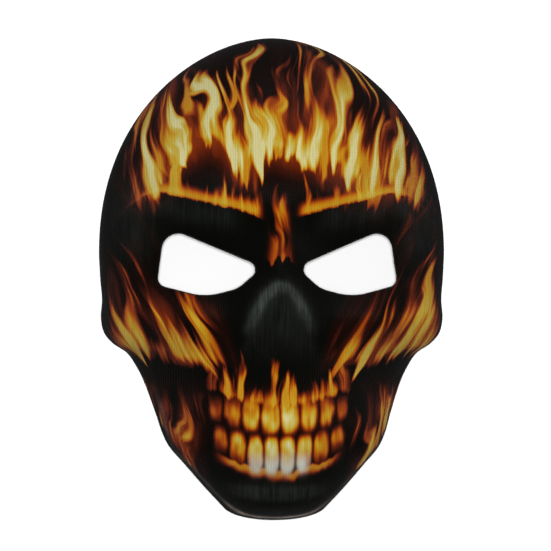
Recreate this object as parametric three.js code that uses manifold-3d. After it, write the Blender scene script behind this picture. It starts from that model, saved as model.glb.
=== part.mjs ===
// A full-face skull mask, lying face up on its rim. It is one moulded wall, printed knit fabric laminated on a
// stiff backing, with two eye openings cut through it.
// Millimetres. +X points to the right cheek as it is seen, +Y to the forehead and +Z out of the face. The origin
// is under the middle of the mask, on the surface that the rim rests on.
import * as THREE from "three";
import { mergeVertices } from "three/addons/utils/BufferGeometryUtils.js";
import Module from "manifold-3d";

// Driving dimensions
const MASK_HEIGHT = 248;
const MASK_WIDTH = 179.4;
const WALL = 2;
const DOME_DEPTH = 68; // from the rim plane to the middle of the face, before the relief
const CHIN_LIFT = 24; // the chin's rim lies this far in front of the cranium's rim

// Levels on the face count from a line through the eyes, a little below the middle of the outline
const OUTLINE_MIDDLE_Y = 1;
const TOP_Y = OUTLINE_MIDDLE_Y + MASK_HEIGHT / 2;
const CHIN_Y = OUTLINE_MIDDLE_Y - MASK_HEIGHT / 2;
const CRANIUM_Y = 12.5; // the widest level, where the round outline of the cranium ends

// The cranium's outline is a half ellipse, a little fuller at its shoulders than a true one
const CRANIUM_UP_POWER = 2.2;
const CRANIUM_ACROSS_POWER = 1.8;

// The outline below the cranium: half its width at each level
const SIDE_EDGE = [
  { place: "temple", y: CRANIUM_Y, half: MASK_WIDTH / 2 },
  { place: "ear", y: 0, half: 89 },
  { place: "waist above the lobe", y: -11, half: 88.1 },
  { place: "cheek lobe", y: -20, half: 88.7 },
  { place: "lobe turning in", y: -28, half: 87 },
  { place: "under the lobe", y: -33.5, half: 82.3 },
  { place: "notch", y: -38, half: 75.6 },
  { place: "below the notch", y: -43, half: 71.7 },
  { place: "upper jaw", y: -52, half: 66.9 },
  { place: "jaw", y: -69, half: 60.5 },
  { place: "jaw corner", y: -79, half: 57.1 },
  { place: "below the corner", y: -86, half: 53.4 },
  { place: "chin slope", y: -94, half: 46.3 },
  { place: "chin side", y: -106, half: 35.8 },
  { place: "chin end", y: -117, half: 25.6 },
];

// The jaw's rim leaves the resting plane at the first level and is fully lifted at the second
const RIM_LIFT_FROM_Y = -34;
const RIM_LIFT_TO_Y = -104;

// How square the dome is across, up to the forehead and down to the chin: 2 is an ellipse
const ACROSS_POWER = 2.5;
const FOREHEAD_POWER = 2.5;
const CHIN_POWER = 5;

// The relief, a smooth mound or hollow in each row: its middle, how far it spans, how far its outer end turns up
// in degrees, and its rise. Rows off the midline stand on both sides.
const RELIEF = [
  { form: "frontal boss", x: 28, y: 76, spanX: 27, spanY: 24, turn: 0, rise: 2 },
  { form: "temple hollow", x: 80, y: 44, spanX: 12, spanY: 26, turn: 8, rise: -4.5 },
  { form: "brow ridge", x: 37, y: 41.5, spanX: 25, spanY: 9, turn: 9, rise: 7 },
  { form: "brow corner", x: 68, y: 34, spanX: 11, spanY: 13, turn: -35, rise: 5 },
  { form: "glabella", x: 0, y: 33, spanX: 10, spanY: 9, turn: 0, rise: 3.5 },
  { form: "eye socket", x: 38, y: 11, spanX: 26, spanY: 15.5, turn: 13, rise: -9.5 },
  { form: "nasal bone", x: 0, y: 6, spanX: 11, spanY: 17, turn: 0, rise: 8 },
  { form: "nose", x: 0, y: -15, spanX: 17.5, spanY: 20, turn: 0, rise: 11 },
  { form: "cheekbone", x: 52, y: -20, spanX: 27, spanY: 9.5, turn: 7, rise: 8.5 },
  { form: "cheek arch", x: 82, y: -19, spanX: 15, spanY: 11, turn: 0, rise: 3.5 },
  { form: "cheek hollow", x: 55, y: -55, spanX: 17, spanY: 21, turn: -18, rise: -10 },
  { form: "dental arch", x: 0, y: -74, spanX: 36, spanY: 29, turn: 0, rise: 8.5 },
  { form: "hollow over the chin", x: 0, y: -103, spanX: 27, spanY: 6.5, turn: 0, rise: -3 },
  { form: "chin", x: 0, y: -113, spanX: 26, spanY: 10, turn: 0, rise: 6 },
  { form: "jaw edge", x: 50, y: -86, spanX: 8, spanY: 26, turn: 30, rise: 4 },
];
// The relief grows from nothing to its full rise between these heights above the rim
const RELIEF_FROM = 2;
const RELIEF_FULL = 26;

// The cap of the nose: a step up under a parabolic arch, which runs out again towards the teeth
const NOSE_CAP = { topY: -1, half: 15, drop: 17, rise: 4, shoulder: 7, fullUntil: 12, length: 36 };

// The right eye opening: its corners and their radii
const EYE_CORNERS = [
  { corner: "inner tip", x: 8.4, y: 6, radius: 4.2 },
  { corner: "upper outer", x: 56.4, y: 26.3, radius: 8.2 },
  { corner: "lower outer", x: 60.3, y: -2.8, radius: 4.5 },
  { corner: "lower lid", x: 36.5, y: -8.9, radius: 40 },
  { corner: "lower inner", x: 20.5, y: -4.6, radius: 14 },
];
const EYE_ARC_STEPS = 5;
const EYE_ARC_REACH = 0.48; // the share of a lid that a corner's arc may take
const EYE_CUT_HEIGHT = 2 * DOME_DEPTH; // cut straight up from the resting plane, past the brow

// The mesh: rows across the face, evenly spaced along the outline, and columns from rim to rim
const ROWS = 68;
const HALF_COLUMNS = 19;
const COLUMN_CROWDING = 0.3; // 0 spaces the columns evenly; more crowds them at the midline and the rim
const OUTLINE_SAMPLES = 1440;

function smoothstep(from, to, value) {
  const t = THREE.MathUtils.clamp((value - from) / (to - from), 0, 1);
  return t * t * (3 - 2 * t);
}

// Slope of the side edge at a row, from the rows beside it
function edgeSlope(row) {
  const above = SIDE_EDGE[Math.max(row - 1, 0)];
  const below = SIDE_EDGE[Math.min(row + 1, SIDE_EDGE.length - 1)];
  return (above.half - below.half) / (above.y - below.y);
}

// A smooth curve through the rows of the side edge
function sideEdgeHalf(y) {
  const next = SIDE_EDGE.findIndex((row) => row.y <= y);
  const row = Math.max(next, 1) - 1;
  const upper = SIDE_EDGE[row];
  const lower = SIDE_EDGE[row + 1];
  const span = upper.y - lower.y;
  const t = (y - lower.y) / span;
  const fromLower = (1 + 2 * t) * (1 - t) ** 2 * lower.half + t * (1 - t) ** 2 * span * edgeSlope(row + 1);
  const fromUpper = t * t * (3 - 2 * t) * upper.half + t * t * (t - 1) * span * edgeSlope(row);
  return fromLower + fromUpper;
}

// The rounded end of the chin, a conic that leaves the side edge at its own slope
function chinEndHalf(y) {
  const end = SIDE_EDGE[SIDE_EDGE.length - 1];
  const rise = end.y - CHIN_Y;
  const bend = (2 * end.half * edgeSlope(SIDE_EDGE.length - 1) - end.half ** 2 / rise) / rise;
  const above = y - CHIN_Y;
  return Math.sqrt(Math.max((end.half ** 2 / rise - bend * rise) * above + bend * above ** 2, 0));
}

function halfWidth(y) {
  if (y >= CRANIUM_Y) {
    const up = Math.min((y - CRANIUM_Y) / (TOP_Y - CRANIUM_Y), 1);
    return (MASK_WIDTH / 2) * (1 - up ** CRANIUM_UP_POWER) ** (1 / CRANIUM_ACROSS_POWER);
  }
  return y > SIDE_EDGE[SIDE_EDGE.length - 1].y ? sideEdgeHalf(y) : chinEndHalf(y);
}

function rimHeight(y) {
  return CHIN_LIFT * smoothstep(RIM_LIFT_FROM_Y, RIM_LIFT_TO_Y, y);
}

// Height of the dome over its rim along the midline
function crownHeight(y) {
  if (y >= 0) return DOME_DEPTH * Math.sqrt(Math.max(1 - (y / TOP_Y) ** FOREHEAD_POWER, 0));
  const chinRound = Math.sqrt(Math.max(1 - (y / CHIN_Y) ** CHIN_POWER, 0));
  return CHIN_LIFT + (DOME_DEPTH - CHIN_LIFT) * chinRound - rimHeight(y);
}

function moundHeight(row, x, y) {
  const turn = THREE.MathUtils.degToRad(row.turn);
  const along = ((x - row.x) * Math.cos(turn) + (y - row.y) * Math.sin(turn)) / row.spanX;
  const over = ((y - row.y) * Math.cos(turn) - (x - row.x) * Math.sin(turn)) / row.spanY;
  return row.rise * Math.exp(-(along * along + over * over));
}

function reliefHeight(x, y) {
  let sum = noseCapHeight(x, y);
  for (const row of RELIEF) {
    sum += moundHeight(row, x, y);
    if (row.x > 0) sum += moundHeight(row, -x, y);
  }
  return sum;
}

function noseCapHeight(x, y) {
  const aside = x / NOSE_CAP.half;
  const below = NOSE_CAP.topY - NOSE_CAP.drop * aside * aside - y;
  const archSlope = (2 * NOSE_CAP.drop * aside) / NOSE_CAP.half;
  const step = smoothstep(0, NOSE_CAP.shoulder, below / Math.hypot(1, archSlope));
  return NOSE_CAP.rise * step * (1 - smoothstep(NOSE_CAP.fullUntil, NOSE_CAP.length, NOSE_CAP.topY - y));
}

// Height of the mask's outer face over the surface that it rests on
function faceHeight(x, y) {
  const across = Math.min(Math.abs(x) / Math.max(halfWidth(y), 1e-6), 1);
  const dome = crownHeight(y) * Math.sqrt(Math.max(1 - across ** ACROSS_POWER, 0));
  return rimHeight(y) + dome + reliefHeight(x, y) * smoothstep(RELIEF_FROM, RELIEF_FULL, dome);
}

// Levels of the rows, evenly spaced along the outline from the top to the chin
function rowLevels() {
  const samples = [];
  const run = [0];
  for (let i = 0; i <= OUTLINE_SAMPLES; i++) {
    const y = OUTLINE_MIDDLE_Y + (MASK_HEIGHT / 2) * Math.cos((Math.PI * i) / OUTLINE_SAMPLES);
    samples.push(new THREE.Vector2(halfWidth(y), y));
    if (i > 0) run.push(run[i - 1] + samples[i].distanceTo(samples[i - 1]));
  }
  const levels = [TOP_Y];
  for (let row = 1; row < ROWS; row++) {
    const wanted = (run[OUTLINE_SAMPLES] * row) / ROWS;
    const i = run.findIndex((length) => length >= wanted);
    const share = (wanted - run[i - 1]) / (run[i] - run[i - 1]);
    levels.push(THREE.MathUtils.lerp(samples[i - 1].y, samples[i].y, share));
  }
  return levels.concat(CHIN_Y);
}

// A column's share of the half width, from -1 at the left rim to 1 at the right rim
function columnShare(column) {
  const even = column / HALF_COLUMNS;
  return even - (COLUMN_CROWDING * Math.sin(2 * Math.PI * even)) / (2 * Math.PI);
}

// The number of a grid point; the first and the last row are single points
function pointAt(row, column) {
  if (row === 0) return 0;
  const first = 1 + (row - 1) * (2 * HALF_COLUMNS + 1);
  return row === ROWS ? first : first + HALF_COLUMNS + column;
}

function outerFace() {
  const points = [];
  rowLevels().forEach((y, row) => {
    const reach = row % ROWS === 0 ? 0 : HALF_COLUMNS;
    for (let column = -reach; column <= reach; column++) {
      const x = halfWidth(y) * columnShare(column);
      const onRim = Math.abs(column) === reach;
      points.push(new THREE.Vector3(x, y, onRim ? rimHeight(y) : faceHeight(x, y)));
    }
  });
  return points;
}

// Triangles of the outer face; each square of the grid is split along its shorter diagonal
function faceTriangles(points) {
  const faces = [];
  for (let row = 0; row < ROWS; row++) {
    for (let column = -HALF_COLUMNS; column < HALF_COLUMNS; column++) {
      const upperLeft = pointAt(row, column);
      const upperRight = pointAt(row, column + 1);
      const lowerLeft = pointAt(row + 1, column);
      const lowerRight = pointAt(row + 1, column + 1);
      const falling = points[upperLeft].distanceTo(points[lowerRight]);
      const rising = points[lowerLeft].distanceTo(points[upperRight]);
      if (row === 0) faces.push([upperLeft, lowerLeft, lowerRight]);
      else if (row === ROWS - 1) faces.push([upperLeft, lowerLeft, upperRight]);
      else if (falling < rising) {
        faces.push([upperLeft, lowerLeft, lowerRight], [upperLeft, lowerRight, upperRight]);
      } else faces.push([upperLeft, lowerLeft, upperRight], [upperRight, lowerLeft, lowerRight]);
    }
  }
  return faces;
}

// The rim's points, from the top down the right side to the chin and back up the left side
function rimLoop() {
  const loop = [];
  for (let row = 0; row <= ROWS; row++) loop.push(pointAt(row, HALF_COLUMNS));
  for (let row = ROWS - 1; row > 0; row--) loop.push(pointAt(row, -HALF_COLUMNS));
  return loop;
}

function meshGeometry(points, faces) {
  const geometry = new THREE.BufferGeometry().setFromPoints(points);
  geometry.setIndex(faces.flat());
  geometry.computeVertexNormals();
  return geometry;
}

// The wall: the outer face, the same face one wall further in, and the cut edge of the rim between them
function wallGeometry() {
  const outer = outerFace();
  const faces = faceTriangles(outer);
  const rim = rimLoop();
  const normals = meshGeometry(outer, faces).getAttribute("normal");
  const inner = outer.map((point, i) => {
    const outward = new THREE.Vector3().fromBufferAttribute(normals, i);
    if (rim.includes(i)) outward.setZ(0); // the rim is cut square to the resting plane
    return point.clone().addScaledVector(outward.normalize(), -WALL);
  });
  const backFaces = faces.map(([a, b, c]) => [a + outer.length, c + outer.length, b + outer.length]);
  const edgeFaces = rim.flatMap((here, i) => {
    const next = rim[(i + 1) % rim.length];
    return [[here, next, next + outer.length], [here, next + outer.length, here + outer.length]];
  });
  return meshGeometry(outer.concat(inner), faces.concat(backFaces, edgeFaces));
}

// An eye opening's outline: straight lids joined by an arc at each corner; side is 1 or -1
function eyeShape(side) {
  const corners = EYE_CORNERS.map((row) => ({ at: new THREE.Vector2(side * row.x, row.y), radius: row.radius }));
  const outline = [];
  corners.forEach(({ at, radius }, i) => {
    const toLast = corners.at(i - 1).at.clone().sub(at);
    const toNext = corners[(i + 1) % corners.length].at.clone().sub(at);
    const halfAngle = toLast.angleTo(toNext) / 2;
    const longest = EYE_ARC_REACH * Math.min(toLast.length(), toNext.length());
    const run = Math.min(radius / Math.tan(halfAngle), longest);
    const arcRadius = run * Math.tan(halfAngle);
    const start = at.clone().addScaledVector(toLast.normalize(), run);
    const bisector = toLast.clone().add(toNext.normalize()).normalize();
    const middle = at.clone().addScaledVector(bisector, arcRadius / Math.sin(halfAngle));
    const sweep = (Math.PI - 2 * halfAngle) * Math.sign(toNext.cross(toLast));
    for (let step = 0; step <= EYE_ARC_STEPS; step++) {
      outline.push(start.clone().rotateAround(middle, (sweep * step) / EYE_ARC_STEPS));
    }
  });
  return new THREE.Shape(outline);
}

function eyeCutter(side) {
  return new THREE.ExtrudeGeometry(eyeShape(side), { depth: EYE_CUT_HEIGHT, bevelEnabled: false });
}

const wasm = await Module();
wasm.setup();

function toSolid(geometry) {
  const bare = new THREE.BufferGeometry();
  bare.setAttribute("position", geometry.getAttribute("position"));
  bare.setIndex(geometry.getIndex());
  const merged = mergeVertices(bare);
  const mesh = new wasm.Mesh({
    numProp: 3,
    vertProperties: new Float32Array(merged.getAttribute("position").array),
    triVerts: new Uint32Array(merged.getIndex().array),
  });
  return new wasm.Manifold(mesh);
}

function toGeometry(solid) {
  const mesh = solid.getMesh();
  const geometry = new THREE.BufferGeometry();
  geometry.setAttribute("position", new THREE.BufferAttribute(new Float32Array(mesh.vertProperties), 3));
  geometry.setIndex(new THREE.BufferAttribute(new Uint32Array(mesh.triVerts), 1));
  geometry.computeVertexNormals();
  return geometry;
}

// The mask: the wall with both eyes cut through it, with the middle of its outline over the origin
function maskShell() {
  const cut = toSolid(wallGeometry()).subtract(toSolid(eyeCutter(1))).subtract(toSolid(eyeCutter(-1)));
  const solid = cut.translate([0, -OUTLINE_MIDDLE_Y, 0]);
  const printedFabric = new THREE.MeshStandardMaterial({ color: 0x1a1410, roughness: 0.6, metalness: 0 });
  const mesh = new THREE.Mesh(toGeometry(solid), printedFabric);
  mesh.name = "mask_shell";
  return mesh;
}

const mask = new THREE.Group();
mask.add(maskShell());

export default mask;
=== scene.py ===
# A skull mask of printed knit fabric on a stiff backing, lying face up on a pale floor
import math

import bpy
import numpy as np
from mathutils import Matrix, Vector


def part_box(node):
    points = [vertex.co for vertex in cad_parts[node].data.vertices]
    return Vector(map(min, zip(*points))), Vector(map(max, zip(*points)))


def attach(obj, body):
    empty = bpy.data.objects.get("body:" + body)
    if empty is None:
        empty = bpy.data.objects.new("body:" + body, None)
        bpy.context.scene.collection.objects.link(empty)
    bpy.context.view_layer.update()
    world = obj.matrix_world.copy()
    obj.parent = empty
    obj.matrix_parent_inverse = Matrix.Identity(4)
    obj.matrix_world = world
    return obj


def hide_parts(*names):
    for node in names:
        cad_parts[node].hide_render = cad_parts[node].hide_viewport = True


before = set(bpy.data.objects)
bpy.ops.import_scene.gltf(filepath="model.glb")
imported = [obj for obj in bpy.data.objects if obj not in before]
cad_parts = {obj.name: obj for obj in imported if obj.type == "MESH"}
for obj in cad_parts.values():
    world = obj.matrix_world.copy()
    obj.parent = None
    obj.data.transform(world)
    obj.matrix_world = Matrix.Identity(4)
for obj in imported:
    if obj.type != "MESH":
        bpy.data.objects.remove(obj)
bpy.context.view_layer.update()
shellLow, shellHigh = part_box("mask_shell")
mm = 0.001

# The moulded wall in millimetres: x across the face, y up to the forehead, z out of the face
wallForm = {
    "height": (shellHigh.y - shellLow.y) / mm,
    "width": (shellHigh.x - shellLow.x) / mm,
    "thickness": 2.0,
    "edgeRound": 0.5,        # how far the cut edges are rounded over
    "domeDepth": 68.0,       # rim plane to the middle of the face, before the relief
    "chinLift": 24.0,        # the chin's rim lies this far in front of the cranium's rim
    "liftFromY": -34.0,
    "liftToY": -104.0,
    "middleY": 1.0,          # of the outline, over the line through the eyes that levels count from
    "craniumY": 12.5,        # widest level, where the round outline of the cranium ends
    "craniumUpPower": 2.2,   # a half ellipse, a little fuller at its shoulders than a true one
    "craniumAcrossPower": 1.8,
    "acrossPower": 2.5,      # how square the dome is; 2 is an ellipse
    "foreheadPower": 2.5,
    "chinPower": 5.0,
    "reliefFrom": 2.0,       # the relief grows between these heights above the rim
    "reliefFull": 26.0,
    "rows": 232,
    "halfColumns": 76,
    "columnCrowding": 0.3,   # crowds the columns at the midline and the rim
    "outlineSteps": 1440,    # along which the rows are spaced evenly
    "rimRunOut": 3.0,        # the rim's rounding dies out over this height
    "steepestCut": 0.5,      # least share of an eye edge's normal that points out of the face
}
topY = wallForm["middleY"] + wallForm["height"] / 2
chinY = wallForm["middleY"] - wallForm["height"] / 2

# Level and half width of the outline, from the temple down to the chin's end
sideEdge = np.array([
    (wallForm["craniumY"], wallForm["width"] / 2), (0, 89), (-11, 88.1), (-20, 88.7), (-28, 87),
    (-33.5, 82.3), (-38, 75.6), (-43, 71.7), (-52, 66.9), (-69, 60.5), (-79, 57.1), (-86, 53.4),
    (-94, 46.3), (-106, 35.8), (-117, 25.6),
])

# Mounds and hollows: middle x and y, span x and y, turn of the outer end in degrees, rise
reliefForms = {
    "frontalBoss": (28, 76, 27, 24, 0, 2),
    "templeHollow": (80, 44, 12, 26, 8, -4.5),
    "browRidge": (37, 41.5, 25, 9, 9, 7),
    "browCorner": (68, 34, 11, 13, -35, 5),
    "glabella": (0, 33, 10, 9, 0, 3.5),
    "eyeSocket": (38, 11, 26, 15.5, 13, -9.5),
    "nasalBone": (0, 6, 11, 17, 0, 8),
    "nose": (0, -15, 17.5, 20, 0, 11),
    "cheekbone": (52, -20, 27, 9.5, 7, 8.5),
    "cheekArch": (82, -19, 15, 11, 0, 3.5),
    "cheekHollow": (55, -55, 17, 21, -18, -10),
    "dentalArch": (0, -74, 36, 29, 0, 8.5),
    "hollowOverChin": (0, -103, 27, 6.5, 0, -3),
    "chin": (0, -113, 26, 10, 0, 6),
    "jawEdge": (50, -86, 8, 26, 30, 4),
}
noseCap = {"topY": -1, "half": 15, "drop": 17, "rise": 4, "shoulder": 7, "fullUntil": 12, "length": 36}

# Corners of the right eye opening and their radii
eyeCorners = {
    "innerTip": (8.4, 6, 4.2),
    "upperOuter": (56.4, 26.3, 8.2),
    "lowerOuter": (60.3, -2.8, 4.5),
    "lowerLid": (36.5, -8.9, 40),
    "lowerInner": (20.5, -4.6, 14),
}
eyeArcReach = 0.48           # the share of a lid that a corner's arc may take
eyeArcSteps = 10


def smoothStep(low, high, value):
    t = np.clip((value - low) / (high - low), 0, 1)
    return t * t * (3 - 2 * t)


# 1 where the value is 0, a half where it is as large as the half width
def band(value, half, power=4):
    return 1 / (1 + (value / half) ** power)


def edgeSlopes():
    y, half = np.pad(sideEdge, ((1, 1), (0, 0)), mode="edge").T
    return (half[:-2] - half[2:]) / (y[:-2] - y[2:])


def halfWidth(y):
    y = np.asarray(y, float)
    form = wallForm
    up = np.clip((y - form["craniumY"]) / (topY - form["craniumY"]), 0, 1)
    cranium = form["width"] / 2 * (1 - up ** form["craniumUpPower"]) ** (1 / form["craniumAcrossPower"])
    # a smooth curve through the rows of the side edge
    slopes = edgeSlopes()
    row = np.clip(np.searchsorted(-sideEdge[:, 0], -y, side="right"), 1, len(sideEdge) - 1)
    (upperY, upper), (lowerY, lower) = sideEdge[row - 1].T, sideEdge[row].T
    span = upperY - lowerY
    t = np.clip((y - lowerY) / span, 0, 1)
    side = ((1 + 2 * t) * (1 - t) ** 2 * lower + t * (1 - t) ** 2 * span * slopes[row]
            + t * t * (3 - 2 * t) * upper + t * t * (t - 1) * span * slopes[row - 1])
    # the chin's end, a conic that leaves the side edge at its own slope
    endY, endHalf = sideEdge[-1]
    rise = endY - chinY
    bend = (2 * endHalf * slopes[-1] - endHalf ** 2 / rise) / rise
    above = np.clip(y - chinY, 0, rise)
    chin = np.sqrt(np.clip((endHalf ** 2 / rise - bend * rise) * above + bend * above ** 2, 0, None))
    return np.where(y >= form["craniumY"], cranium, np.where(y > endY, side, chin))


def rimHeight(y):
    return wallForm["chinLift"] * smoothStep(wallForm["liftFromY"], wallForm["liftToY"], y)


def domeHeight(x, y):
    form = wallForm
    up = np.clip(y / topY, 0, 1)
    down = np.clip(y / chinY, 0, 1)
    forehead = form["domeDepth"] * np.sqrt(1 - up ** form["foreheadPower"])
    jawDepth = form["domeDepth"] - form["chinLift"]
    jaw = form["chinLift"] + jawDepth * np.sqrt(1 - down ** form["chinPower"])
    crown = np.where(y >= 0, forehead, jaw - rimHeight(y))
    across = np.clip(np.abs(x) / np.maximum(halfWidth(y), 1e-6), 0, 1)
    return crown * np.sqrt(1 - across ** form["acrossPower"])


def reliefHeight(x, y):
    cap = noseCap            # a step up under an arch, which runs out again towards the teeth
    aside = x / cap["half"]
    below = cap["topY"] - cap["drop"] * aside ** 2 - y
    archSlope = 2 * cap["drop"] * aside / cap["half"]
    step = smoothStep(0, cap["shoulder"], below / np.hypot(1, archSlope))
    total = cap["rise"] * step * (1 - smoothStep(cap["fullUntil"], cap["length"], cap["topY"] - y))
    for midX, midY, spanX, spanY, turn, rise in reliefForms.values():
        c, s = math.cos(math.radians(turn)), math.sin(math.radians(turn))
        for side in (1, -1) if midX else (1,):
            dx, dy = side * x - midX, y - midY
            along, over = (c * dx + s * dy) / spanX, (c * dy - s * dx) / spanY
            total = total + rise * np.exp(-(along ** 2 + over ** 2))
    return total


# The two rows of teeth, in low relief and in the print: widths from the midline out
teeth = {
    "upper": {"widths": (9.6, 8.6, 8.2, 7.0), "tall": 21.0, "up": 1},
    "lower": {"widths": (7.6, 8.0, 8.2, 7.4), "tall": 20.0, "up": -1},
    "gap": 0.5,
    "biteY": -77.0,
    "biteGap": 0.8,          # half the dark line between the rows
    "arch": 0.006,           # the bite line rises towards the cheeks
    "squareness": 3,         # 2 is an ellipse
    "relief": 0.7,
    "reliefEdge": 0.8,
}
toothRows = (teeth["upper"], teeth["lower"])


def biteLine(x):
    return x * x * teeth["arch"] + teeth["biteY"]


# Each tooth of a row: its middle, how far out a point is, 1 at the edge, and how high up the tooth
def toothFields(x, y, row):
    power = teeth["squareness"]
    rise = (y - biteLine(x)) * row["up"] - teeth["biteGap"]
    high = (rise - row["tall"] / 2) / (row["tall"] / 2)
    edge = 0.0
    for width in row["widths"]:
        middle = edge + width / 2
        aside = (abs(x) - middle) / (width / 2)
        yield middle, abs(aside) ** power + abs(high) ** power, rise / row["tall"]
        edge += width + teeth["gap"]


def faceHeight(x, y):
    dome = domeHeight(x, y)
    grown = smoothStep(wallForm["reliefFrom"], wallForm["reliefFull"], dome)
    tooth = 0
    for row in toothRows:
        for middle, edge, high in toothFields(x, y, row):
            tooth = tooth + band(edge, teeth["reliefEdge"])
    return rimHeight(y) + dome + (reliefHeight(x, y) + teeth["relief"] * tooth) * grown


# Right eye outline, straight lids joined by arcs, pushed out by the rounding of the cut edge
def eyeOutline():
    corners = np.array(list(eyeCorners.values()), float)
    outline = []
    for i, (x, y, radius) in enumerate(corners):
        at = np.array((x, y))
        toLast = corners[i - 1, :2] - at
        toNext = corners[(i + 1) % len(corners), :2] - at
        lastLength, nextLength = np.linalg.norm(toLast), np.linalg.norm(toNext)
        toLast, toNext = toLast / lastLength, toNext / nextLength
        halfAngle = math.acos(toLast @ toNext) / 2
        run = min(radius / math.tan(halfAngle), eyeArcReach * min(lastLength, nextLength))
        arcRadius = run * math.tan(halfAngle)
        bisector = (toLast + toNext) / np.linalg.norm(toLast + toNext)
        middle = at + bisector * arcRadius / math.sin(halfAngle)
        start = at + toLast * run - middle
        sweep = (math.pi - 2 * halfAngle) * np.sign(toNext[0] * toLast[1] - toNext[1] * toLast[0])
        for step in range(eyeArcSteps + 1):
            c, s = math.cos(sweep * step / eyeArcSteps), math.sin(sweep * step / eyeArcSteps)
            spoke = np.array((c * start[0] - s * start[1], s * start[0] + c * start[1]))
            outline.append(middle + spoke * (1 + wallForm["edgeRound"] / arcRadius))
    return np.array(outline)


def insideOutline(outline, points):
    x, y = points.T
    inside = np.zeros(len(points), bool)
    for (ax, ay), (bx, by) in zip(outline, np.roll(outline, -1, axis=0)):
        if ay == by:
            continue
        crosses = (ay > y) != (by > y)
        inside ^= crosses & (x < ax + (bx - ax) * (y - ay) / (by - ay))
    return inside


def nearestOnOutline(outline, points):
    start, step = outline, np.roll(outline, -1, axis=0) - outline
    away = points[:, None, :] - start[None]
    share = np.clip((away * step).sum(2) / np.maximum((step * step).sum(1), 1e-9), 0, 1)
    near = start[None] + share[..., None] * step[None]
    best = np.linalg.norm(points[:, None, :] - near, axis=2).argmin(1)
    return near[np.arange(len(points)), best]


# Levels of the rows, evenly spaced along the outline from the top to the chin
def rowLevels():
    turn = np.linspace(0, math.pi, wallForm["outlineSteps"] + 1)
    y = wallForm["middleY"] + wallForm["height"] / 2 * np.cos(turn)
    run = np.concatenate(([0], np.cumsum(np.hypot(np.diff(halfWidth(y)), np.diff(y)))))
    levels = np.interp(np.linspace(0, run[-1], wallForm["rows"] + 1), run, y)
    levels[0], levels[-1] = topY, chinY
    return levels


# Point numbers of the grid; its first and last row are single points
def gridNumbers():
    rows, columns = wallForm["rows"], 2 * wallForm["halfColumns"] + 1
    inner = 1 + np.arange((rows - 1) * columns).reshape(rows - 1, columns)
    top = np.zeros((1, columns), int)
    return np.vstack((top, inner, np.full((1, columns), inner[-1, -1] + 1)))


def boundaryLoops(faces):
    edges = {(a, b) for face in faces for a, b in zip(face, face[1:] + face[:1])}
    follow = {a: b for a, b in edges if (b, a) not in edges}
    loops = []
    while follow:
        loop = [next(iter(follow))]
        while follow[loop[-1]] != loop[0]:
            loop.append(follow[loop[-1]])
        for point in loop:
            del follow[point]
        loops.append(loop)
    return loops


def pointNormals(points, faces):
    normals = np.zeros_like(points)
    for face in faces:
        a, b, c, d = points[face[0]], points[face[1]], points[face[-2]], points[face[-1]]
        normal = np.cross(c - a, d - b) if len(face) == 4 else np.cross(b - a, d - a)
        for point in face:
            normals[point] += normal
    return normals / np.maximum(np.linalg.norm(normals, axis=1, keepdims=True), 1e-12)


# Level direction out of the wall along one of its open edges
def awayFromFaces(points, loop):
    along = np.roll(points[loop], -1, axis=0) - np.roll(points[loop], 1, axis=0)
    along[:, 2] = 0
    out = np.cross(along, (0, 0, 1.0))
    return out / np.linalg.norm(out, axis=1, keepdims=True)


def maskMesh():
    numbers = gridNumbers()
    columns = np.arange(-wallForm["halfColumns"], wallForm["halfColumns"] + 1) / wallForm["halfColumns"]
    shares = columns - wallForm["columnCrowding"] * np.sin(2 * math.pi * columns) / (2 * math.pi)
    levels = rowLevels()
    flat = np.zeros((numbers.max() + 1, 2))
    across = np.outer(halfWidth(levels), shares)
    upward = np.outer(levels, np.ones_like(shares))
    flat[numbers] = np.dstack((across, upward))

    # squares of the grid, without those inside an eye opening
    corners = (numbers[:-1, :-1], numbers[1:, :-1], numbers[1:, 1:], numbers[:-1, 1:])
    squares = np.dstack(corners).reshape(-1, 4)
    middles = flat[squares].mean(1)
    outline = eyeOutline()
    kept = squares[~insideOutline(outline, np.abs(middles) * (1, 0) + middles * (0, 1))]
    faces = [list(dict.fromkeys(square)) for square in kept.tolist()]
    loops = boundaryLoops(faces)
    rim = next(loop for loop in loops if 0 in loop)
    eyes = [loop for loop in loops if loop is not rim]

    # the grid's points along an eye move onto its outline
    for loop in eyes:
        side = np.sign(flat[loop[0], 0])
        flat[loop] = nearestOnOutline(outline, flat[loop] * (side, 1)) * (side, 1)

    outer = np.column_stack((flat, faceHeight(flat[:, 0], flat[:, 1])))
    # the rim's outer edge is drawn up by its rounding, and the wall just above it with it
    overRim = outer[:, 2] - rimHeight(flat[:, 1])
    overRim[rim] = 0
    drawnUp = wallForm["edgeRound"] * (1 - smoothStep(0, wallForm["rimRunOut"], overRim))
    outer[:, 2] = rimHeight(flat[:, 1]) + overRim + drawnUp
    normals = pointNormals(outer, faces)
    normals[rim] = awayFromFaces(outer, rim)
    inner = outer - wallForm["thickness"] * normals
    for loop in eyes:        # the eyes are cut straight through
        inner[loop] = outer[loop]
        inner[loop, 2] -= wallForm["thickness"] / np.maximum(normals[loop, 2], wallForm["steepestCut"])
    return outer, inner, faces, rim, eyes


# Rounded cut edges: share of the way from the outer to the inner face, share of the rounding
edgeProfile = ((0.1, 0.75), (0.5, 1.0), (0.9, 0.75))

# The print lies flat on the face and runs on down the side walls by this much
printSheet = {"stretch": 26.0, "stretchBelow": 40.0}


def printPlaces(flat):
    x, y = flat.T
    drop = np.clip(1 - domeHeight(x, y) / printSheet["stretchBelow"], 0, 1)
    outward = flat / (np.array((wallForm["width"], wallForm["height"])) / 2) ** 2
    outward /= np.maximum(np.linalg.norm(outward, axis=1, keepdims=True), 1e-9)
    return flat + outward * (printSheet["stretch"] * drop ** 2)[:, None]


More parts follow.
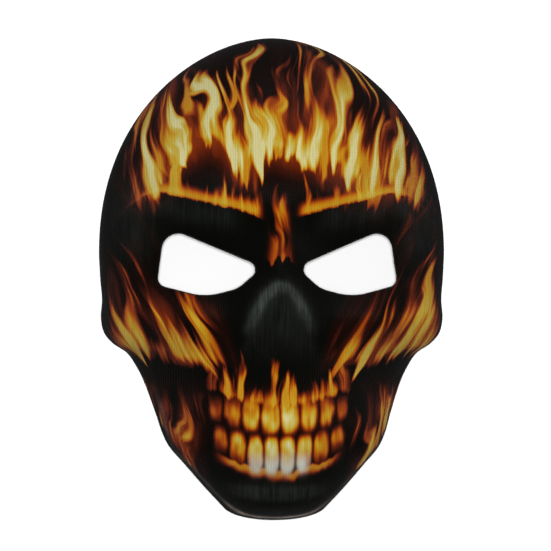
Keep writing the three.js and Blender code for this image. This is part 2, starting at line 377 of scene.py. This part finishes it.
def maskPiece():
    outer, inner, faces, rim, eyes = maskMesh()
    count = len(outer)
    points = [outer, inner]
    source = [np.arange(count), np.arange(count)]
    allFaces = faces + [[point + count for point in reversed(face)] for face in faces]
    # finishes by number: 0 the printed knit outside, 1 the dark backing inside, 2 the cut edges
    finishes = [0] * len(faces) + [1] * len(faces)
    total = 2 * count
    for loop in [rim] + eyes:
        out = np.array((0, 0, -1.0)) if loop is rim else awayFromFaces(outer, loop)
        rings = [np.array(loop)]
        for share, rounding in edgeProfile:
            across = outer[loop] * (1 - share) + inner[loop] * share
            points.append(across + out * rounding * wallForm["edgeRound"])
            source.append(np.array(loop))
            rings.append(total + np.arange(len(loop)))
            total += len(loop)
        rings.append(np.array(loop) + count)
        for here, there in zip(rings, rings[1:]):
            strip = np.stack((np.roll(here, -1), here, there, np.roll(there, -1)), axis=1)
            allFaces += strip.tolist()
            finishes += [2] * len(strip)

    # points inside the eye openings carry no face and are left out
    points, source = np.vstack(points), np.concatenate(source)
    used = np.unique(np.concatenate([np.array(face) for face in allFaces]))
    renumber = np.zeros(len(points), int)
    renumber[used] = np.arange(len(used))
    mesh = bpy.data.meshes.new("maskWall")
    placed = (points[used] - (0, wallForm["middleY"], 0)) * mm
    mesh.from_pydata(placed.tolist(), [], [renumber[face].tolist() for face in allFaces])
    mesh.polygons.foreach_set("use_smooth", [True] * len(allFaces))
    mesh.polygons.foreach_set("material_index", finishes)
    ground = outer[source[used]]
    overRim = ground[:, 2] - rimHeight(ground[:, 1])
    sheet = mesh.attributes.new("printPlace", "FLOAT_VECTOR", "POINT")
    sheet.data.foreach_set("vector", np.column_stack((printPlaces(ground[:, :2]), overRim)).ravel())
    mesh.update()
    piece = bpy.data.objects.new("maskWall", mesh)
    bpy.context.collection.objects.link(piece)
    return piece


# Wraps one output of a node tree: sums, products and powers of wires add Math nodes to the tree
class Wire:
    def __init__(self, tree, socket=None):
        self.tree = tree
        self.socket = socket

    # any node: its type, its settings, then the values or wires of its sockets
    def node(self, kind, settings=None, sockets=None, output=0):
        made = self.tree.nodes.new("ShaderNode" + kind)
        for name, value in (settings or {}).items():
            if name == "stops":
                setStops(made.color_ramp, value)
            else:
                setattr(made, name, value)
        for name, value in (sockets or {}).items():
            if isinstance(value, Wire):
                self.tree.links.new(value.socket, made.inputs[name])
            else:
                made.inputs[name].default_value = value
        return Wire(self.tree, made.outputs[output] if made.outputs else None)

    def maths(self, operation, *values):
        return self.node("Math", {"operation": operation}, dict(enumerate(values)))

    def __add__(self, other):
        return self.maths("ADD", self, other)

    def __radd__(self, other):
        return self.maths("ADD", other, self)

    def __sub__(self, other):
        return self.maths("SUBTRACT", self, other)

    def __rsub__(self, other):
        return self.maths("SUBTRACT", other, self)

    def __mul__(self, other):
        return self.maths("MULTIPLY", self, other)

    def __rmul__(self, other):
        return self.maths("MULTIPLY", other, self)

    def __truediv__(self, other):
        return self.maths("DIVIDE", self, other)

    def __rtruediv__(self, other):
        return self.maths("DIVIDE", other, self)

    def __pow__(self, other):
        return self.maths("POWER", self, other)

    def __neg__(self):
        return self.maths("MULTIPLY", self, -1.0)

    def __abs__(self):
        return self.maths("ABSOLUTE", self)

    def sine(self):
        return self.maths("SINE", self)

    def between(self, low, high):
        return self.maths("MINIMUM", self.maths("MAXIMUM", self, low), high)

    # 0 before the first value, 1 after the second, smooth between them
    def ease(self, low, high):
        return self.node("MapRange", {"interpolation_type": "SMOOTHSTEP"},
                         {"Value": self, "From Min": low, "From Max": high})

    def scaled(self, factor):
        return self.node("VectorMath", {"operation": "SCALE"}, {0: self, "Scale": factor})

    # turned towards another colour by a share; the sockets of a colour's Mix node go by number
    def blended(self, share, colour):
        return self.node("Mix", {"data_type": "RGBA"}, {0: share, 6: self, 7: (*colour, 1.0)}, 2)


def setStops(ramp, stops):
    while len(ramp.elements) < len(stops):
        ramp.elements.new(1.0)
    for element, (place, colour) in zip(ramp.elements, stops):
        element.position = place
        element.color = (*colour, 1.0)


def newMaterial(name):
    material = bpy.data.materials.new(name)
    material.use_nodes = True
    shader = material.node_tree.nodes["Principled BSDF"]
    return material, shader, Wire(material.node_tree)


def feed(shader, name, wire):
    wire.tree.links.new(wire.socket, shader.inputs[name])


def feedBump(shader, height, plan):
    sockets = {"Strength": plan["bump"], "Distance": plan["depth"], "Height": height}
    feed(shader, "Normal", height.node("Bump", None, sockets))


# Noise from about -1 to 1 at a point given by its place over the grain of the noise
def noise(u, v, seed, detail):
    place = u.node("CombineXYZ", None, {"X": u, "Y": v, "Z": seed})
    settings = {"noise_dimensions": "3D", "normalize": False}
    sockets = {"Vector": place, "Scale": 1.0, "Detail": detail, "Roughness": 0.5, "Lacunarity": 2.0}
    return u.node("TexNoise", settings, sockets)


# Swings of noise: grain across and up in mm, reach, seed, detail
swings = {
    "fireSway": (20, 26, 8.0, 0, 0),
    "fireWaver": (7, 13, 1.5, 1, 0),
    "fireTongue": (6.5, 52, 1.3, 2, 2),
    "fireGust": (26, 60, 0.3, 3, 0),
    "fireStrand": (1.7, 24, 0.18, 4, 1),
    "crownFoot": (21, 90, 22.0, 5.3, 0),
    "browPatch": (14, 30, 0.3, 36.5, 0),
    "browThickness": (15, 60, 0.8, 39.5, 0),
    "toothSway": (5, 6, 0.8, 120.5, 0),
    "toothMottle": (3.4, 6, 0.4, 131.5, 0),
    "toothStreak": (1.4, 9, 0.2, 141.5, 0),
    "toothFringe": (6, 20, 3.0, 161.6, 1),
    "toothWhite": (3, 6, 0.3, 171.5, 0),
    "printAcross": (16, 22, 1.4, 201.5, 0),
    "printUp": (18, 20, 1.4, 211.5, 0),
    "highlightCloud": (7, 9, 0.5, 221.5, 1),
    "highlightRibGlint": (0.9, 14, 0.7, 223.5, 0),
    "foldWearAndHighlight": (9, 9, 0.6, 231.5, 1),
    "ribWander": (5, 30, 0.25, 301.5, 0),
    "rowWander": (6, 5, 0.5, 331.5, 1),
    "yarnFibre": (0.5, 0.9, 1.0, 311.5, 2),
    "ribUneven": (1.9, 26, 1.0, 321.5, 1),
    "backingFibre": (0.9, 0.9, 1.0, 401.5, 3),
    "backingCloud": (9, 9, 1.0, 411.5, 2),
    "edgeFibre": (0.7, 0.7, 1.0, 501.5, 3),
}


def swing(u, v, name, seedShift=0):
    across, up, reach, seed, detail = swings[name]
    return reach * noise(u / across, v / up, seed + seedShift, detail)


# Walls of fire: drop of the foot, height, softness of the foot, grain, raggedness, seed, gain, lift, top
fires = {
    "crownFront": (0, 50, 19, 1.0, 0.4, 4.2, 1.16, -0.01, 1.0),
    "crownMiddle": (2, 42.5, 19, 0.8, 0.4, 11.6, 0.7, -0.14, 0.56),
    "crownBehind": (8, 72.5, 14, 1.3, 0.8, 18.9, 0.24, -0.012, 0.336),
    "brow": (0, 14, 2.5, 0.7, 0.1, 31.5, 0.8, -0.16, 0.7),
    "bridge": (0, 36, 5, 0.62, 0.5, 44.4, 0.75, 0, 0.62),
    "cheekFront": (0, 40, 15, 0.9, 0.25, 57.1, 0.84, -0.12, 0.74),
    "cheekBehind": (3, 64, 6, 1.1, 0.5, 63.7, 0.22, 0, 0.308),
    "jawFront": (0, 62, 8, 0.8, 0.6, 84.6, 0.8, -0.46, 0.74),
    "jawBehind": (0, 99, 4, 1.2, 1.2, 97.2, 0.22, 0, 0.308),
    "gum": (0, 12, 8, 0.62, 0.1, 151.6, 0.7, -0.06, 0.6),
}
fireHeat = {
    "foot": 0.82,
    "cooling": 0.8,          # from the foot to the full height
    "coolingPower": 1.15,
    "rootCut": 1.8,          # ends the fire below its foot
    "tear": 0.76,            # how deep the tongues are torn at the foot, and how much more at the tips
    "tipTear": 0.36,
    "swayFrom": (0, 30),
    "strandBend": 3.4,       # strands follow the outlines of the tongues
    "tallest": 4,            # in heights of the fire
    "joinPower": 4,
}


# u across a wall of fire and v up it in mm: hot at its foot, torn into tongues higher up
def fire(u, v, name, dim=0, seedShift=0):
    drop, tall, foot, grain, ragged, seed, gain, lift, top = fires[name]
    v = v + drop
    seed = seed + seedShift
    across, up = u / grain, v / grain
    sway = swing(across, up, "fireSway", seed) * up.ease(*fireHeat["swayFrom"])
    swayed = across + sway + swing(across, up, "fireWaver", seed)
    tongues = swing(swayed, up, "fireTongue", seed) + swing(across, up, "fireGust", seed)
    strands = swing(swayed + fireHeat["strandBend"] * tongues, up, "fireStrand", seed)
    share = (v / tall).between(0, fireHeat["tallest"])
    roots = (-v / foot - ragged * tongues).ease(0, 1)
    cooling = fireHeat["cooling"] * share ** fireHeat["coolingPower"] + fireHeat["rootCut"] * roots
    torn = tongues * (fireHeat["tear"] + fireHeat["tipTear"] * share.between(0, 1))
    heat = (fireHeat["foot"] - cooling + torn) * (1 + strands)
    return (heat * gain + (lift - dim)).between(0, top)


# The hotter of several fires, with soft joins
def mixHeat(parts):
    power = fireHeat["joinPower"]
    return sum(part ** power for part in parts) ** (1 / power)


# Fire on the forehead, brightest a little right of the middle, over a red glow
crown = {
    "baseY": 63.0,
    "arch": 0.0020,          # the foot falls towards the temples
    "fan": 0.0035,           # the tongues spread upwards
    "brightX": 12.0,
    "fadeX": 90.0,
    "dims": {"crownFront": 0.75, "crownMiddle": 0.3, "crownBehind": 0.072},
    "glow": 0.25,
    "glowFrom": (-34, -2),
    "glowTo": (34, 0),
    "glowX": (80, 44),
    "haze": 0.05,
    "hazeFrom": (-20, 0),
    "rimX": (92, 66),
}


def crownFire(x, y):
    v = y - crown["baseY"] + crown["arch"] * x * x + swing(x, y, "crownFoot")
    u = x / (1 + crown["fan"] * v)
    away = ((x - crown["brightX"]) / crown["fadeX"]) ** 2
    layers = [fire(u, v, name, dim * away) for name, dim in crown["dims"].items()]
    glow = crown["glow"] * v.ease(*crown["glowFrom"]) * v.ease(*crown["glowTo"])
    glow = glow * abs(x).ease(*crown["glowX"])
    haze = crown["haze"] * v.ease(*crown["hazeFrom"])
    return mixHeat((*layers, glow + haze)) * abs(x).ease(*crown["rimX"])


# A burning line along each brow with small flames over it
brow = {
    "baseY": 29.0,
    "slope": 0.26,
    "turnX": 54.0,           # the line turns down beyond this place
    "fall": 0.03,
    "fallReach": 90.0,
    "heat": 0.66,
    "thick": 3.4,
    "taper": 0.024,
    "lineFrom": (-0.35, 0.35),
    "lineTo": (3.2, 0.5),
    "innerX": (6, 13),
    "outerX": (86, 56),
}


def browFire(x, y):
    aside = abs(x)
    beyond = (aside - brow["turnX"]).between(0, brow["fallReach"])
    v = y - brow["baseY"] - brow["slope"] * aside + brow["fall"] * beyond ** 2
    flames = fire(x, v, "brow", -swing(x, y, "browPatch"))
    across = v / (brow["thick"] - brow["taper"] * aside + swing(x, y, "browThickness"))
    line = brow["heat"] * across.ease(*brow["lineFrom"]) * across.ease(*brow["lineTo"])
    return mixHeat((flames, line)) * aside.ease(*brow["innerX"]) * aside.ease(*brow["outerX"])


bridge = {"baseY": 12.0, "narrowing": 0.12, "sideX": (9, 3)}


def bridgeFire(x, y):
    v = y - bridge["baseY"]
    return fire(x, v, "bridge") * (abs(x) + bridge["narrowing"] * v).ease(*bridge["sideX"])


sideSeeds = 10               # sets the fires of the right side apart from those of the left

# Fire leaning outwards up each cheekbone
cheek = {
    "baseY": -36.0,
    "fromX": 52.0,
    "slope": 0.10,
    "lean": 0.55,
    "innerLean": 0.3,
    "innerX": (18, 38),
    "rimX": (98, 76),
}


def cheekFire(x, y):
    aside = abs(x)
    v = y - cheek["baseY"] - cheek["slope"] * (aside - cheek["fromX"])
    u = aside - cheek["lean"] * v
    seedShift = sideSeeds * x.maths("GREATER_THAN", x, 0)
    flames = mixHeat([fire(u, v, name, 0, seedShift) for name in ("cheekFront", "cheekBehind")])
    return flames * (aside - cheek["innerLean"] * v).ease(*cheek["innerX"]) * aside.ease(*cheek["rimX"])


# Fire up each side of the jaw, stronger on the right
jaw = {
    "fromX": 28.0,
    "fromY": -122.0,
    "slope": 1.16,
    "lean": 0.1,
    "behindLean": 0.2,
    "rightHeat": 0.26,
    "innerLean": 0.12,
    "innerX": (36, 50),
    "topY": (-44, -70),
}


def jawFire(x, y):
    aside = abs(x)
    v = y - jaw["fromY"] - jaw["slope"] * (aside - jaw["fromX"])
    right = x.maths("GREATER_THAN", x, 0)
    front = fire(aside + jaw["lean"] * v, v, "jawFront", -jaw["rightHeat"] * right, sideSeeds * right)
    behind = fire(aside + jaw["behindLean"] * v, v, "jawBehind", 0, sideSeeds * right)
    inner = (aside + jaw["innerLean"] * v).ease(*jaw["innerX"])
    return mixHeat((front, behind)) * inner * y.ease(*jaw["topY"])


# Teeth that glow at the bite, flames along the upper gum and a fringe of fire under the lower row
mouth = {
    "edge": 0.8,
    "edgePower": 2.6,
    "heat": 0.88,
    "cornerCooling": 0.45,
    "cornerX": 30.0,
    "rootCooling": 0.54,
    "rootFrom": (0.15, 1.0),
    "gumOver": 17.0,
    "gumX": (40, 28),
    "fringeUnder": 20.0,
    "fringeArch": 0.004,
    "fringeHeat": 0.56,
    "fringeFrom": (-4, -1),
    "fringeTo": (6, -0.5),
    "fringeX": (36, 22),
}


def mouthFire(x, y):
    aside = abs(x)
    swayed = x + swing(x, y, "toothSway")
    glows = []
    for row in toothRows:
        for middle, edge, high in toothFields(swayed, y, row):
            corner = mouth["cornerCooling"] * (middle / mouth["cornerX"]) ** 2
            heat = mouth["heat"] - corner - mouth["rootCooling"] * high.ease(*mouth["rootFrom"])
            glows.append(heat * band(edge, mouth["edge"], mouth["edgePower"]))
    mottle = 1 + swing(x, y, "toothMottle") + swing(x, y, "toothStreak")
    over = y - biteLine(x)
    gum = fire(x, over - mouth["gumOver"], "gum") * aside.ease(*mouth["gumX"])
    under = -over - mouth["fringeUnder"] + mouth["fringeArch"] * x * x + swing(x, y, "toothFringe")
    fringe = mouth["fringeHeat"] * under.ease(*mouth["fringeFrom"]) * under.ease(*mouth["fringeTo"])
    return mixHeat((mixHeat(glows) * mottle, gum, fringe * aside.ease(*mouth["fringeX"])))


# The black round each eye
eyeBlack = {"x": 38.0, "y": 12.0, "halfX": 33.0, "halfY": 21.0, "slope": 0.2, "power": 6, "cut": 0.85}


# 1 in the middle of the black, 0 outside it
def blackShare(x, y):
    aside = abs(x) - eyeBlack["x"]
    up = y - eyeBlack["y"] - eyeBlack["slope"] * aside
    across = (aside / eyeBlack["halfX"]) ** eyeBlack["power"]
    return 1 / (1 + across + (up / eyeBlack["halfY"]) ** eyeBlack["power"])


def printHeat(x, y):
    swayX, swayY = x + swing(x, y, "printAcross"), y + swing(x, y, "printUp")
    flames = mixHeat((crownFire(x, y), browFire(swayX, swayY), bridgeFire(swayX, swayY),
                      cheekFire(swayX, swayY), jawFire(x, y)))
    return mixHeat((flames * (1 - eyeBlack["cut"] * blackShare(x, y)), mouthFire(x, y)))


# Black to dark red, orange, yellow and pale yellow by heat
flameColours = (
    (0.00, (0.0016, 0.0017, 0.0012)),
    (0.10, (0.0070, 0.0020, 0.0012)),
    (0.18, (0.030, 0.0046, 0.0018)),
    (0.27, (0.090, 0.0105, 0.0022)),
    (0.36, (0.200, 0.028, 0.0024)),
    (0.45, (0.290, 0.072, 0.0026)),
    (0.55, (0.340, 0.140, 0.0040)),
    (0.68, (0.360, 0.225, 0.014)),
    (0.83, (0.380, 0.300, 0.065)),
    (1.00, (0.430, 0.390, 0.180)),
)

# The middle teeth of the lower row turn bone white towards their roots
boneWhite = {
    "colour": (0.40, 0.42, 0.35),
    "middleX": 18.0,
    "edge": 0.7,
    "rootFrom": (0.30, 0.75),
    "least": 0.8,
    "sideX": (18, 11),
}


def whiteShare(x, y):
    white = 0
    for middle, edge, high in toothFields(x, y, teeth["lower"]):
        if middle < boneWhite["middleX"]:
            white = white + band(edge, boneWhite["edge"]) * high.ease(*boneWhite["rootFrom"])
    return white * (boneWhite["least"] + swing(x, y, "toothWhite")) * abs(x).ease(*boneWhite["sideX"])


# Faint grey in the black, partly print and partly painted highlight: round the sockets, over the nose
# cap's arch and front, and along the chin's ledge where light would catch it
greyPrintAndHighlight = {
    "colour": (0.0150, 0.0175, 0.0160),
    "arch": 1.7,             # how strong each of the four is
    "nose": 0.28,
    "socket": 0.28,
    "chin": 0.5,
    "archBelow": 2.5,
    "archHalf": 2.5,
    "archFrom": (-30, -12),
    "noseBelow": (0, 6),
    "noseFrom": (-46, -20),
    "socketFrom": (2, 26),
    "socketX": (14, 30),
    "chinY": -108.0,
    "chinHalf": 4.5,
    "chinX": (36, 12),
}


def greyAndHighlightShare(x, y):
    grey, aside = greyPrintAndHighlight, abs(x)
    curve = noseCap["drop"] / noseCap["half"] ** 2
    slope = 2 * curve * x
    below = (noseCap["topY"] - curve * x * x - y) / (1 + slope * slope) ** 0.5
    arch = band(below - grey["archBelow"], grey["archHalf"]) * y.ease(*grey["archFrom"])
    nose = below.ease(*grey["noseBelow"]) * y.ease(*grey["noseFrom"])
    share = blackShare(x, y)
    rim = 4 * share * (1 - share) * y.ease(*grey["socketFrom"]) * aside.ease(*grey["socketX"])
    ledge = band(y - grey["chinY"], grey["chinHalf"]) * aside.ease(*grey["chinX"])
    # painted glints along the knit's ribs streak the grey
    uneven = 1 + swing(x, y, "highlightCloud") + swing(x, y, "highlightRibGlint")
    total = grey["arch"] * arch + grey["nose"] * nose + grey["socket"] * rim + grey["chin"] * ledge
    return uneven * total


# The print is stretched pale over the fold just above the rim, most of all at the chin, and a painted
# highlight lies along the fold where it would catch the light
foldWearAndHighlight = {
    "colour": (0.34, 0.27, 0.23),
    "over": 15.5,            # height over the rim
    "half": 2.2,
    "least": 0.8,
    "jaw": 0.12,
    "jawFrom": (-52, -74),
    "chin": 0.7,
    "chinFrom": (-112, -121),
    "chinX": (34, 17),
}


def wornAndLitFold(x, y, over):
    wearAndGlint = foldWearAndHighlight["least"] + swing(x, y, "foldWearAndHighlight")
    chin = foldWearAndHighlight["chin"] * y.ease(*foldWearAndHighlight["chinFrom"]) * abs(x).ease(*foldWearAndHighlight["chinX"])
    strength = foldWearAndHighlight["jaw"] * y.ease(*foldWearAndHighlight["jawFrom"]) + chin
    return (band(over - foldWearAndHighlight["over"], foldWearAndHighlight["half"]) * strength * wearAndGlint).between(0, 1)


# Knit fabric with the print dyed into it: fine ribs down the face, with stitches along them
knit = {
    "ribPitch": 1.25,
    "stitchPitch": 1.0,
    "stitchSlant": 2.4,
    "stitchShare": 0.5,
    "fibreShare": 0.3,
    "grooveShadeAndTone": 0.06,
    "ribShade": 0.10,
    "depth": 0.00012,
    "bump": 0.4,
    "roughness": 0.42,
    "fibreRoughness": 0.05,
    "ribRoughness": 0.04,
    "gloss": 0.5,
    "glossTint": 0.12,
}


def axisOf(place, name):
    return place.node("SeparateXYZ", None, {0: place}, name)


def printedKnit():
    material, shader, start = newMaterial("printedKnit")
    place = start.node("Attribute", {"attribute_name": "printPlace"}, None, "Vector")
    x, y, over = axisOf(place, "X"), axisOf(place, "Y"), axisOf(place, "Z")
    heat = printHeat(x, y)
    colour = heat.node("ValToRGB", {"stops": flameColours}, {"Fac": heat})
    # painted highlight, partly printed grey, added into the print's colour
    grey = colour.node("VectorMath", {"operation": "SCALE"},
                       {0: greyPrintAndHighlight["colour"], "Scale": greyAndHighlightShare(x, y)})
    colour = colour.node("VectorMath", {"operation": "ADD"}, {0: colour, 1: grey})
    colour = colour.blended(whiteShare(x, y), boneWhite["colour"])
    # pale stretched print with a painted highlight along the fold above the rim
    colour = colour.blended(wornAndLitFold(x, y, over), foldWearAndHighlight["colour"])

    rib = ((x + swing(x, y, "ribWander")) * (2 * math.pi / knit["ribPitch"])).sine()
    row = (y + swing(x, y, "rowWander")) * (2 * math.pi / knit["stitchPitch"])
    stitch = (row + knit["stitchSlant"] * abs(rib)).sine()
    fibre, uneven = swing(x, y, "yarnFibre"), swing(x, y, "ribUneven")
    yarn = rib + knit["stitchShare"] * stitch + knit["fibreShare"] * fibre
    # painted shade: the colour darkens in the grooves between ribs and stitches, with random tone along
    # the fibres and ribs
    shadeAndTone = 1 + knit["grooveShadeAndTone"] * yarn + knit["ribShade"] * uneven
    roughness = knit["roughness"] + knit["fibreRoughness"] * fibre + knit["ribRoughness"] * uneven
    feed(shader, "Base Color", colour.scaled(shadeAndTone))
    feed(shader, "Roughness", roughness)
    feedBump(shader, yarn, knit)
    shader.inputs["Specular IOR Level"].default_value = knit["gloss"]
    shader.inputs["Specular Tint"].default_value = (knit["glossTint"],) * 3 + (1.0,)
    return material


# Pressed fibre: the plain dark backing inside the wall, and its cut edges
backing = {
    "dark": (0.018, 0.018, 0.019),
    "pale": (0.034, 0.033, 0.033),
    "fibre": "backingFibre",
    "tone": 0.5,
    "fibreShare": 0.35,
    "cloudShare": 0.25,
    "roughness": 0.85,
    "cloudRoughness": 0.06,
    "bump": 0.5,
    "depth": 0.0003,
}
cutEdge = {
    "dark": (0.006, 0.006, 0.006),
    "pale": (0.022, 0.021, 0.020),
    "fibre": "edgeFibre",
    "tone": 0.4,
    "fibreShare": 0.5,
    "cloudShare": 0.1,
    "roughness": 0.8,
    "cloudRoughness": 0.05,
    "bump": 0.5,
    "depth": 0.0002,
}


def pressedFibre(name, plan):
    material, shader, start = newMaterial(name)
    place = start.node("TexCoord", None, None, "Object")
    x, y = axisOf(place, "X") / mm, axisOf(place, "Y") / mm
    fibre, cloud = swing(x, y, plan["fibre"]), swing(x, y, "backingCloud")
    tone = (plan["tone"] + plan["fibreShare"] * fibre + plan["cloudShare"] * cloud).between(0, 1)
    stops = ((0.0, plan["dark"]), (1.0, plan["pale"]))
    feed(shader, "Base Color", tone.node("ValToRGB", {"stops": stops}, {"Fac": tone}))
    feed(shader, "Roughness", plan["roughness"] + plan["cloudRoughness"] * cloud)
    feedBump(shader, fibre, plan)
    return material


mask = maskPiece()
for material in (printedKnit(), pressedFibre("darkBacking", backing), pressedFibre("cutEdge", cutEdge)):
    mask.data.materials.append(material)
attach(mask, "root")
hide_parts("mask_shell")
print("mask:", len(mask.data.polygons), "faces,", len(mask.data.vertices), "points")
print("finishes:", ", ".join(material.name for material in mask.data.materials))

# Pale floor under the rim
floor = {"half": 4.0, "drop": 0.0001, "colour": (0.94, 0.94, 0.94), "roughness": 0.6}


def floorPiece():
    mesh = bpy.data.meshes.new("floor")
    half = floor["half"]
    corners = [(-half, -half), (half, -half), (half, half), (-half, half)]
    mesh.from_pydata([(x, y, -floor["drop"]) for x, y in corners], [], [(0, 1, 2, 3)])
    material, shader, start = newMaterial("paleFloor")
    shader.inputs["Base Color"].default_value = (*floor["colour"], 1.0)
    shader.inputs["Roughness"].default_value = floor["roughness"]
    mesh.materials.append(material)
    piece = bpy.data.objects.new("floor", mesh)
    piece.visible_glossy = False
    bpy.context.collection.objects.link(piece)
    return piece


floorPiece()

# Camera nearly square to the face, a little to its left
view = {
    "distance": 1.4,
    "yaw": math.radians(3.3),
    "photoPixels": 551,
    "mmPerPixel": 0.52,      # at the rim's plane
    "aim": (1.95, 0.8, 0.0),
    "sensor": 36.0,
}


def makeCamera():
    data = bpy.data.cameras.new("camera")
    data.sensor_width = view["sensor"]
    data.lens = view["sensor"] * view["distance"] / (view["photoPixels"] * view["mmPerPixel"] * mm)
    camera = bpy.data.objects.new("camera", data)
    bpy.context.collection.objects.link(camera)
    aim = Vector(view["aim"]) * mm
    backwards = Vector((-math.sin(view["yaw"]), 0, math.cos(view["yaw"])))
    camera.location = aim + view["distance"] * backwards
    camera.rotation_euler = (0, -view["yaw"], 0)
    bpy.context.scene.camera = camera
    return camera


camera = makeCamera()

# Soft studio light: a lamp by the camera, fills at both sides, two softboxes that glint, a pale sky
lamps = {
    "front": {"place": (-0.08, 0.01, 1.45), "size": 0.06, "power": 21.0, "glossy": False},
    "leftFill": {"place": (-1.25, 0.0, 0.75), "size": 0.8, "power": 4.5, "glossy": False},
    "rightFill": {"place": (1.25, 0.0, 0.75), "size": 0.8, "power": 4.5, "glossy": False},
    "forehead": {"place": (0.25, 1.30, 0.80), "size": 0.6, "power": 4.0, "glossy": True},
    "right": {"place": (1.30, 0.10, 0.70), "size": 0.6, "power": 1.5, "glossy": True},
}
sky = {"colour": (1.0, 1.0, 1.0), "strength": 0.08}


def makeLamps():
    for name, plan in lamps.items():
        data = bpy.data.lights.new(name, "AREA")
        data.shape = "DISK"
        data.size = plan["size"]
        data.energy = plan["power"]
        lamp = bpy.data.objects.new(name, data)
        lamp.location = plan["place"]
        lamp.visible_glossy = plan["glossy"]
        lamp.rotation_euler = (-Vector(plan["place"])).to_track_quat("-Z", "Y").to_euler()
        bpy.context.collection.objects.link(lamp)
    world = bpy.data.worlds.new("sky")
    bpy.context.scene.world = world
    world.use_nodes = True
    background = world.node_tree.nodes["Background"]
    background.inputs["Color"].default_value = (*sky["colour"], 1.0)
    background.inputs["Strength"].default_value = sky["strength"]


makeLamps()
bpy.context.scene.view_settings.view_transform = "Standard"
print("camera and lamps:", len(lamps), "lamps, lens", round(camera.data.lens, 1), "mm")

bpy.context.view_layer.update()
